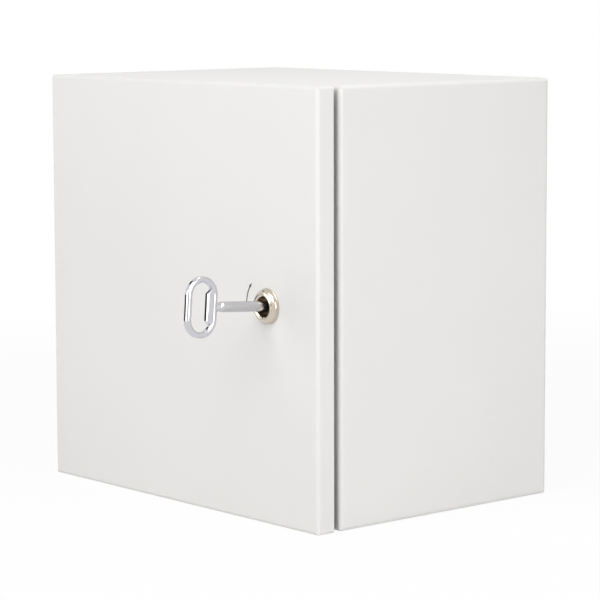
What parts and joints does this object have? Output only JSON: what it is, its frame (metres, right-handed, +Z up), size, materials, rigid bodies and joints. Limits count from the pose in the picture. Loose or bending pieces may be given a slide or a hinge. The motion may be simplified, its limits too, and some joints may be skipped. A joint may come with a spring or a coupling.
{
  "type": "steel wall enclosure",
  "caption": "Folded-steel wall enclosure with a hinged, foam-sealed door, cam lock and key, removable mounting panel and bottom gland plate.",
  "frame": {"origin": "centre of the wall face, the flat back that lies against the wall", "axes": "+X to the right seen from the front, +Y back into the wall, +Z up; the door faces -Y"},
  "size_m": [0.3, 0.291, 0.3],
  "materials": {
    "paint": "satin light grey powder coat",
    "foam": "matte foam",
    "zinc_plate": "bright zinc plate",
    "chrome": "polished",
    "die_cast": "satin die-cast zinc",
    "brass": "satin"
  },
  "bodies": {
    "enclosure": {"body_shell": "paint", "hinge_body_leaves": "zinc_plate", "hinge_pins": "zinc_plate", "hinge_screws": "zinc_plate", "hinge_screw_nuts": "zinc_plate", "mounting_panel": "zinc_plate", "panel_studs": "zinc_plate", "panel_washers": "zinc_plate", "panel_nuts": "zinc_plate", "gland_plate": "paint", "gland_seal": "foam", "gland_studs": "zinc_plate", "gland_nuts": "zinc_plate", "body_earth_stud": "brass", "body_earth_nut": "zinc_plate"},
    "door": {"door_panel": "paint", "door_seal": "foam", "hinge_door_leaves": "zinc_plate", "hinge_door_studs": "zinc_plate", "hinge_door_nuts": "zinc_plate", "lock_barrel": "chrome", "lock_seal": "foam", "lock_nut": "zinc_plate", "door_earth_stud": "brass", "door_earth_nut": "zinc_plate"},
    "lock_core": {"lock_core": "die_cast", "lock_cam": "zinc_plate", "cam_washer": "zinc_plate", "cam_screw": "zinc_plate"},
    "key": {"key": "chrome"}
  },
  "joints": [
    {"name": "door_swing", "type": "hinge", "parent": "enclosure", "child": "door", "pos_m": [-0.1445, -0.21, 0], "axis": [0, 0, -1], "range_deg": [0, 120]},
    {"name": "lock_turn", "type": "hinge", "parent": "door", "child": "lock_core", "pos_m": [0.0985, -0.22, 0], "axis": [0, 1, 0], "range_deg": [0, 90]},
    {"name": "key_pull", "type": "slide", "parent": "lock_core", "child": "key", "axis": [0, -0.9976, 0.0698], "range_m": [0, 0.02]}
  ]
}
